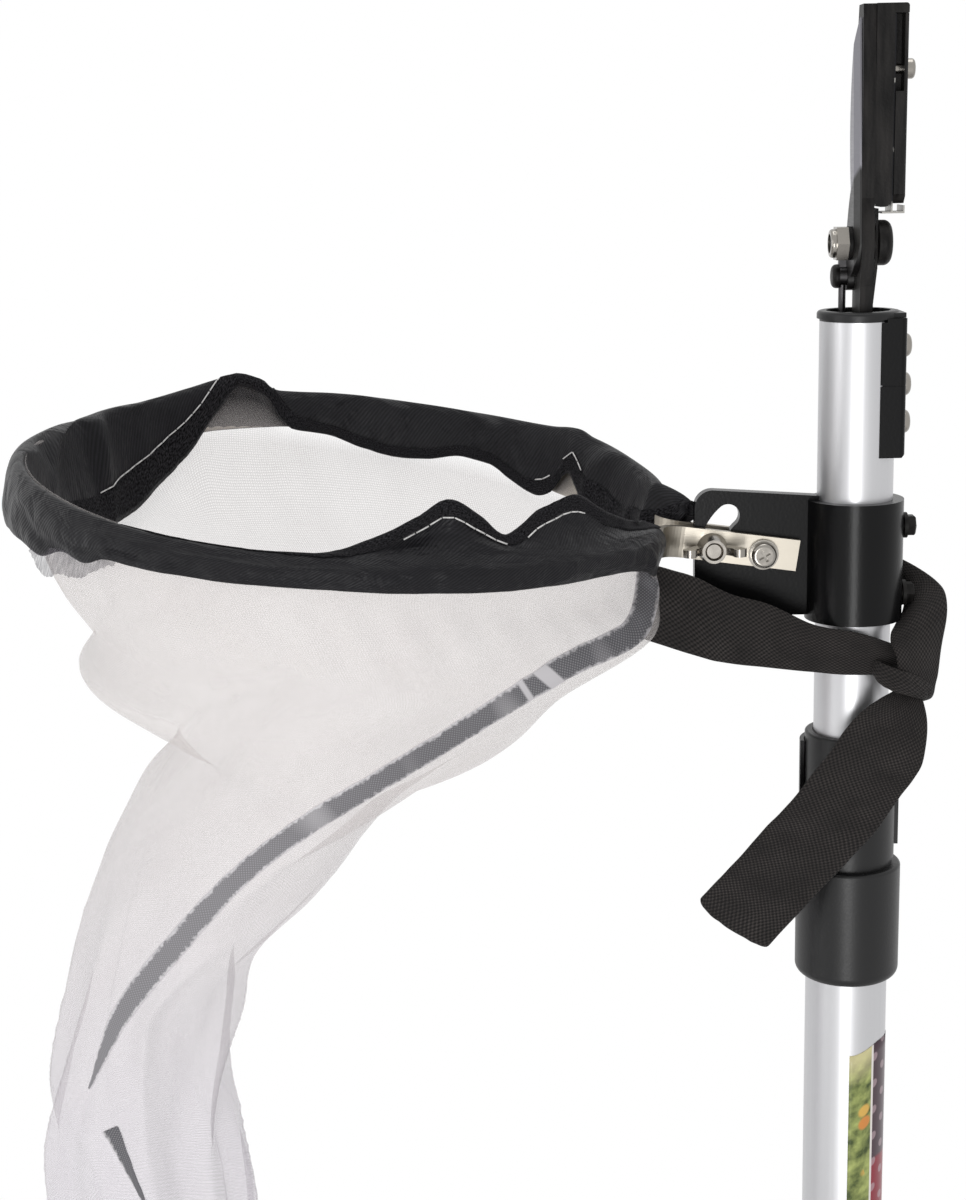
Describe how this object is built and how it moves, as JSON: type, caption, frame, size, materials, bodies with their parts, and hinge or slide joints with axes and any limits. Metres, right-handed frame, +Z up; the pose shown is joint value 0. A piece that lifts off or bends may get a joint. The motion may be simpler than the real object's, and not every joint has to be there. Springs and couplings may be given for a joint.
{
  "type": "telescopic fruit picker",
  "caption": "Two-section telescopic pole with a squeeze handle, a rod-driven shear head and a hooped catch net with a long fabric chute.",
  "frame": {"origin": "on the pole's axis, in the middle of the butt's end cap", "axes": "+Z up the pole to the cutting head, +X away from the net, +Y to the back of the net bracket"},
  "size_m": [0.3233, 0.2193, 1.311],
  "materials": {
    "tube": "satin drawn tube",
    "moulding": "fine-grained black moulding",
    "coated_steel": "satin black powder coat",
    "black_steel": "blackened steel plate with worn edges",
    "ground_steel": "ground blade steel",
    "bright_steel": "zinc-plated steel",
    "rod_steel": "dull drawn rod",
    "foam": "closed-cell foam",
    "rubber_cap": "matte rubber",
    "shoe": "plain bearing plastic",
    "sleeve_fabric": "black pile fabric",
    "net_fabric": "fine off-white net",
    "webbing": "black woven webbing"
  },
  "bodies": {
    "handle": {"outer_tube": "tube", "end_cap": "rubber_cap", "grip_sleeve": "foam", "handle_front": "moulding", "handle_back": "moulding", "handle_screws": "bright_steel", "trigger_pin": "bright_steel", "collar_body": "moulding", "brake_shoe": "shoe", "lever_pin": "bright_steel"},
    "lock_lever": {"lock_lever": "moulding"},
    "trigger": {"trigger": "moulding"},
    "drive": {"drive_tube": "tube", "drive_yoke": "moulding", "yoke_pin": "bright_steel", "rod_clutch": "moulding"},
    "inner_pole": {"inner_tube": "tube", "inner_bush": "moulding", "top_cap": "moulding", "saddle": "coated_steel", "head_screws": "coated_steel", "counter_plate": "black_steel", "pivot_bolt": "coated_steel", "pivot_washers": "coated_steel", "pivot_nut": "bright_steel", "leaf_strip": "bright_steel", "holder_block": "moulding", "holder_strip": "bright_steel", "holder_plate": "moulding", "holder_screw": "bright_steel", "net_bracket": "coated_steel", "clamp_screws": "coated_steel", "hoop_screw": "bright_steel", "hoop_nut": "bright_steel", "strap": "webbing"},
    "pull_rod": {"pull_rod": "rod_steel"},
    "blade": {"blade": "ground_steel", "tail_pin": "coated_steel"},
    "net_frame": {"hoop_strip": "bright_steel", "wing_bolt": "bright_steel", "net_sleeve": "sleeve_fabric", "net_bag": "net_fabric", "strap_corner": "webbing"},
    "wing_nut": {"wing_nut": "bright_steel"}
  },
  "joints": [
    {"name": "lever_swing", "type": "hinge", "parent": "handle", "child": "lock_lever", "pos_m": [0.0092, 0.01594, 0.986], "axis": [0, 0, -1], "range_deg": [0, 100]},
    {"name": "trigger_squeeze", "type": "hinge", "parent": "handle", "child": "trigger", "pos_m": [-0.0172, 0, 0.262], "axis": [0, -1, 0], "range_deg": [0, 14]},
    {"name": "drive_slide", "type": "slide", "parent": "handle", "child": "drive", "axis": [0, 0, 1], "range_m": [0, 0.00425]},
    {"name": "pole_extend", "type": "slide", "parent": "handle", "child": "inner_pole", "axis": [0, 0, 1], "range_m": [-0.015, 0.5]},
    {"name": "rod_slide", "type": "slide", "parent": "inner_pole", "child": "pull_rod", "axis": [0, 0, 1], "range_m": [0, 0.00425]},
    {"name": "blade_pivot", "type": "hinge", "parent": "inner_pole", "child": "blade", "pos_m": [0, 0, 1.1715], "axis": [1, 0, 0], "range_deg": [0, 25]},
    {"name": "net_tilt", "type": "hinge", "parent": "inner_pole", "child": "net_frame", "pos_m": [-0.031, 0, 1.0704], "axis": [0, 1, 0], "range_deg": [-4, 40]},
    {"name": "wing_spin", "type": "hinge", "parent": "net_frame", "child": "wing_nut", "pos_m": [-0.04793, 0, 1.07278], "axis": [0, 1, 0], "continuous": true}
  ],
  "couplings": [
    {"joint": "drive_slide", "follows": "trigger_squeeze", "m_per_rad": 0.0172},
    {"joint": "rod_slide", "follows": "trigger_squeeze", "m_per_rad": 0.0172},
    {"joint": "blade_pivot", "follows": "trigger_squeeze", "ratio": 1.785}
  ]
}
